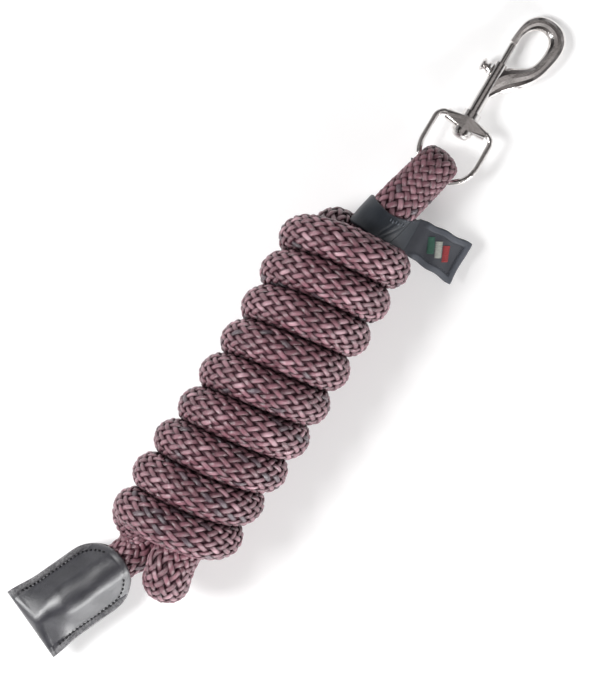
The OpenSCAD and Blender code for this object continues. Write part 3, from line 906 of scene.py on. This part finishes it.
def tab_point(u, d, n=0.0):
    """u across from the middle, d out from the fold, n above the face."""
    bend = SLOPE * (1.45 - 0.75 * smoothstep(0, 26, d))
    out = -TYH * d * math.cos(SLOPE)
    z = -d * math.sin(SLOPE) * 1.0 + 2.2 * math.sin(min(max(d / TAB_LEN, 0), 1) * math.pi) * 0.55
    up = vec(0, 0, 1) * math.cos(SLOPE) - TYH * math.sin(SLOPE)
    wave = 0.55 * math.sin(u * 0.28 + d * 0.16) * smoothstep(4, 20, d) + 0.35 * math.sin(d * 0.33 + 1.2) * smoothstep(2, 10, d)
    return ROOT + TX * u + out + vec(0, 0, z) + up * (n + float(wave))


def tab_half(d):
    return 10.5 + 0.5 * float(smoothstep(0, 5, d)) + 2.0 * d / TAB_LEN + 0.35 * math.sin(d * 0.42 + 0.7) * float(smoothstep(2, 12, d))


FOLD_R = 0.5


def fold_arc(us, side):
    """Rows round the fold's own line, so that the tab turns there without opening a gap."""
    out = -TYH * math.cos(SLOPE) - vec(0, 0, 1) * math.sin(SLOPE)
    up = vec(0, 0, 1) * math.cos(SLOPE) - TYH * math.sin(SLOPE)
    rows = []
    for ph in np.linspace(math.pi / 2, -math.pi / 2, 8)[1:-1]:
        rows.append([tab_point(u * tab_half(0.0), 0.0) + FOLD_R * (math.cos(ph) * out * side + math.sin(ph) * up) for u in us])
    return np.array(rows)


def strip_faces(m, nv, back):
    """A strip that goes out over m/2 rows and comes back under them, closed at its sides."""
    f = [grid_faces(m, nv, wrap_u=True)]
    i = np.arange((m - 1) // 2)
    for col, fl in ((0, back), (nv - 1, not back)):
        q = np.stack([i * nv + col, (i + 1) * nv + col, (m - 2 - i) * nv + col, (m - 1 - i) * nv + col], -1)
        f.append(q[:, ::-1] if fl else q)
    return np.concatenate([g for g in f if len(g)])


def label_tab():
    nu, nv = 66, 100
    ds = np.linspace(0, TAB_LEN, nu)
    us = np.linspace(-1, 1, nv)
    top, bot, uv, edge = [], [], [], []
    for d in ds:
        w = tab_half(d)
        for u in us:
            x = u * w
            # raised woven borders along both sides and the end
            border = max(0.0, 1 - abs((w - abs(x)) - 2.0) / 2.0) if (w - abs(x)) < 4.2 else 0
            endb = max(0.0, 1 - abs((TAB_LEN - d) - 2.0) / 2.0) if (TAB_LEN - d) < 4.2 else 0
            b = max(border, endb) * float(smoothstep(3.0, 9.0, d))
            rise = 0.38 * min(1.0, 2.2 * b)
            rim = 0.35 * (1 - float(smoothstep(0, 0.5, w - abs(x)))) + 0.35 * (1 - float(smoothstep(0, 0.5, TAB_LEN - d)))
            top.append(tab_point(x, d, 0.5 + rise - rim))
            bot.append(tab_point(x, d, -0.55 + rim))
            uv.append([x, d])
            edge.append(0.9 * min(1.0, 2.0 * b))
    top, bot, uv, edge = (np.array(q).reshape(nu, nv, -1) for q in (top, bot, uv, edge))
    # down the face to the fold, round it, and back along the underside
    round_ = fold_arc(us, -1)
    k = len(round_)
    v = np.concatenate([top[::-1], round_, bot])
    uv = np.concatenate([uv[::-1], np.repeat(uv[:1], k, 0), uv])
    edge = np.concatenate([edge[::-1], np.repeat(edge[:1], k, 0), edge])
    return new_mesh("label_ribbon", v.reshape(-1, 3), strip_faces(len(v), nv, False), M_TAB,
                    attrs={"edge": edge.reshape(-1)}, uv=uv.reshape(-1, 2))


tab = label_tab()
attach(tab, "tab")
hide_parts("label_tab")


def thread_on_tab(pts, r=0.2, n=0.95):
    out = []
    for (u0, d0), (u1, d1) in pts:
        out.append(capsule(tab_point(u0, d0, n), tab_point(u1, d1, n), r, sides=6))
    return out


stitch = []
for s in (-1, 1):
    for i in range(15):
        d = 7.0 + i * 1.65
        stitch.append(((s * (tab_half(d) - 4.3), d), (s * (tab_half(d + 1.05) - 4.3), d + 1.05)))
for i in range(11):
    u = -8.6 + i * 1.62
    stitch.append(((u, TAB_LEN - 4.3), (u + 1.05, TAB_LEN - 4.3)))
tst = many("label_stitches", thread_on_tab(stitch, 0.17, 0.62), M_SLATE)
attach(tst, "tab")
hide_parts("label_stitching")

# a few loose ends of yarn at the side of the eye, in black: painted shade for the shadow they lie in
ends = []
for a_, b_ in (((149.2, -5.7, 19.0), (151.9, -7.6, 23.4)), ((151.0, -7.0, 22.6), (153.9, -4.7, 22.2)),
               ((150.0, -7.6, 23.2), (152.4, -5.5, 20.0)), ((149.6, -6.6, 21.6), (151.4, -5.0, 21.4))):
    ends.append(capsule(vec(*a_) + SHIFT, vec(*b_) + SHIFT, 0.62, sides=8))
loose = many("loose_ends", ends, M_BLACK_AND_SHADE)
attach(loose, "rope")

# Three plain slanting stripes in satin stitch
for name, row, mat in (("stripe_green", -1, M_GREEN), ("stripe_pale", 0, M_PALE), ("stripe_red", 1, M_RED)):
    sts = []
    for i in range(24):
        q = -4.5 + i * 9.0 / 23
        c, s_ = math.cos(math.radians(24)), math.sin(math.radians(24))
        mid = 18.5 + 5.4 * row
        jag = 0.25 * math.sin(i * 2.1 + row)
        sts.append(((0.6 + q * c - 2.4 * s_, mid - q * s_ - (2.3 + jag) * c), (0.6 + q * c + 2.4 * s_, mid - q * s_ + (2.3 - jag) * c)))
    o = many(name, thread_on_tab(sts, 0.24, 0.62), mat)
    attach(o, "tab")
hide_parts("label_emblem")

# The ribbon's turn from the splice down to the tab
def turn():
    nu, nv = 26, 60
    us = np.linspace(-1, 1, nv)
    rows_t, rows_b = [], []
    for a_ in np.linspace(0, 1, nu):
        top, bot = [], []
        for u in us:
            x_t = 41.6 - u * 10.2
            ang = math.radians(34)
            r = float(band_r(np.array(x_t), np.array(ang))) + 0.15
            p = BAR + SHIFT + x_t * EX + r * math.cos(ang) * EY + r * math.sin(ang) * EZ
            e = tab_point(u * tab_half(0.0), 0.0, FOLD_R)
            e_low = tab_point(u * tab_half(0.0), 0.0, -FOLD_R)
            n0 = unit(math.cos(ang) * EY + math.sin(ang) * EZ)
            tang = unit(math.sin(ang) * EY - math.cos(ang) * EZ)
            mid = p + tang * 5.0
            q = (1 - a_) ** 2 * p + 2 * a_ * (1 - a_) * mid + a_ ** 2 * e
            q = q + TX * 7.2 * a_ * (1 - a_) * max(0.0, u) ** 3
            top.append(q)
            bot.append(q - n0 * 0.9 * (1 - a_) + (e_low - e) * a_)
        rows_t.append(top)
        rows_b.append(bot)
    round_ = fold_arc(us, 1)
    v = np.concatenate([np.array(rows_t), round_, np.array(rows_b)[::-1]])
    a_s = np.concatenate([np.linspace(0, 8, nu), np.full(len(round_), 8.0), np.linspace(8, 0, nu)])
    uv = np.stack([np.tile(us * 11, len(v)), np.repeat(a_s, nv)], -1)
    m = len(v)
    v = v.reshape(-1, 3)
    return new_mesh("ribbon_turn", v, strip_faces(m, nv, False), M_RIBBON, attrs={"edge": np.zeros(len(v))}, uv=uv)


turn_ob = turn()
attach(turn_ob, "rope")

# ------------------------------------------------------------------ metal
for n in ("swivel_ring", "swivel_washer", "snap_body", "thumb_knob"):
    for s in NODES[n].material_slots:
        s.material = M_METAL
for s in NODES["snap_bolt"].material_slots:
    s.material = M_BOLT
for s in NODES["bolt_spring"].material_slots:
    s.material = M_SPRING
for s in NODES["end_whipping"].material_slots:
    s.material = M_TWINE
for s in NODES["eye_whipping"].material_slots:
    s.material = M_TWINE

# ------------------------------------------------------------------ floor, light
bpy.ops.mesh.primitive_plane_add(size=6, location=(0, 0, 0))
floor = bpy.context.object
floor.name = "floor"
kf = Mat("floor")
nf = kf.noise(kf.coord("Object"), 3.0, 2.0)
kf.link(kf.ramp(nf, [(0.3, (0.80, 0.80, 0.80)), (0.7, (0.82, 0.82, 0.82))]), kf.b.inputs["Base Color"])
kf.set(Roughness=0.7, Emission_Strength=0.26)
kf.b.inputs["Emission Color"].default_value = (1, 1, 1, 1)
floor.data.materials.append(kf.m)


def area(name, loc, target, size, power, colour=(1, 1, 1), size_y=None):
    d = bpy.data.lights.new(name, "AREA")
    d.energy = power
    d.size = size
    if size_y:
        d.shape = "RECTANGLE"
        d.size_y = size_y
    d.color = colour
    o = bpy.data.objects.new(name, d)
    scene.collection.objects.link(o)
    o.location = loc
    o.rotation_euler = (Vector(target) - Vector(loc)).to_track_quat("-Z", "Y").to_euler()
    return o


# key from the picture's left, soft; a low strip opposite it for the long highlights
area("key", (-0.72, 1.10, 1.35), (0.0, 0.0, 0.0), 0.75, 38)
area("rim", (-0.52, -1.10, 0.42), (-0.03, 0, 0.02), 1.1, 17, size_y=0.26)
w = bpy.data.worlds.new("world")
scene.world = w
w.use_nodes = True
wt = w.node_tree
bg = wt.nodes["Background"]
tc = wt.nodes.new("ShaderNodeTexCoord")
sx = wt.nodes.new("ShaderNodeSeparateXYZ")
wt.links.new(tc.outputs["Generated"], sx.inputs[0])
rp = wt.nodes.new("ShaderNodeValToRGB")
el = rp.color_ramp.elements
el[0].position, el[0].color = 0.0, (0.72, 0.72, 0.72, 1)
el[1].position, el[1].color = 0.25, (0.88, 0.88, 0.89, 1)
for z, c in ((0.44, (0.40, 0.392, 0.395)), (0.58, (0.15, 0.142, 0.142)), (0.78, (0.05, 0.046, 0.046)),
             (0.88, (0.13, 0.119, 0.116)), (0.97, (0.46, 0.436, 0.430)), (1.0, (0.78, 0.76, 0.75))):
    e = el.new(z)
    e.color = (*c, 1)
wt.links.new(sx.outputs[2], rp.inputs[0])
# the side the key stands on is dim, the side of the low strip bright
dp = wt.nodes.new("ShaderNodeVectorMath")
dp.operation = "DOT_PRODUCT"
dp.inputs[1].default_value = (-0.41, -0.911, 0.0)
wt.links.new(tc.outputs["Generated"], dp.inputs[0])
mr = wt.nodes.new("ShaderNodeMapRange")
mr.inputs["From Min"].default_value, mr.inputs["From Max"].default_value = -1.0, 1.0
mr.inputs["To Min"].default_value, mr.inputs["To Max"].default_value = 0.42, 1.20
wt.links.new(dp.outputs["Value"], mr.inputs["Value"])
sc = wt.nodes.new("ShaderNodeVectorMath")
sc.operation = "SCALE"
wt.links.new(rp.outputs[0], sc.inputs[0])
wt.links.new(mr.outputs["Result"], sc.inputs["Scale"])
# patches, as a room has: they give the metal something to mirror
pn = wt.nodes.new("ShaderNodeTexNoise")
pn.inputs["Scale"].default_value = 5.2
pn.inputs["Detail"].default_value = 2.0
wt.links.new(tc.outputs["Generated"], pn.inputs["Vector"])
pm = wt.nodes.new("ShaderNodeMapRange")
pm.inputs["From Min"].default_value, pm.inputs["From Max"].default_value = 0.36, 0.64
pm.inputs["To Min"].default_value, pm.inputs["To Max"].default_value = 0.30, 1.85
wt.links.new(pn.outputs["Fac"], pm.inputs["Value"])
sp = wt.nodes.new("ShaderNodeVectorMath")
sp.operation = "SCALE"
wt.links.new(sc.outputs[0], sp.inputs[0])
wt.links.new(pm.outputs["Result"], sp.inputs["Scale"])
# seen directly, the backdrop is plain and pale
lp = wt.nodes.new("ShaderNodeLightPath")
mb = wt.nodes.new("ShaderNodeMix")
mb.data_type = "RGBA"
mb.inputs[7].default_value = (0.84, 0.84, 0.85, 1)
wt.links.new(lp.outputs["Is Camera Ray"], mb.inputs[0])
wt.links.new(sp.outputs[0], mb.inputs[6])
wt.links.new(mb.outputs[2], bg.inputs["Color"])
bg.inputs["Strength"].default_value = 1.0
scene.view_settings.view_transform = "Standard"
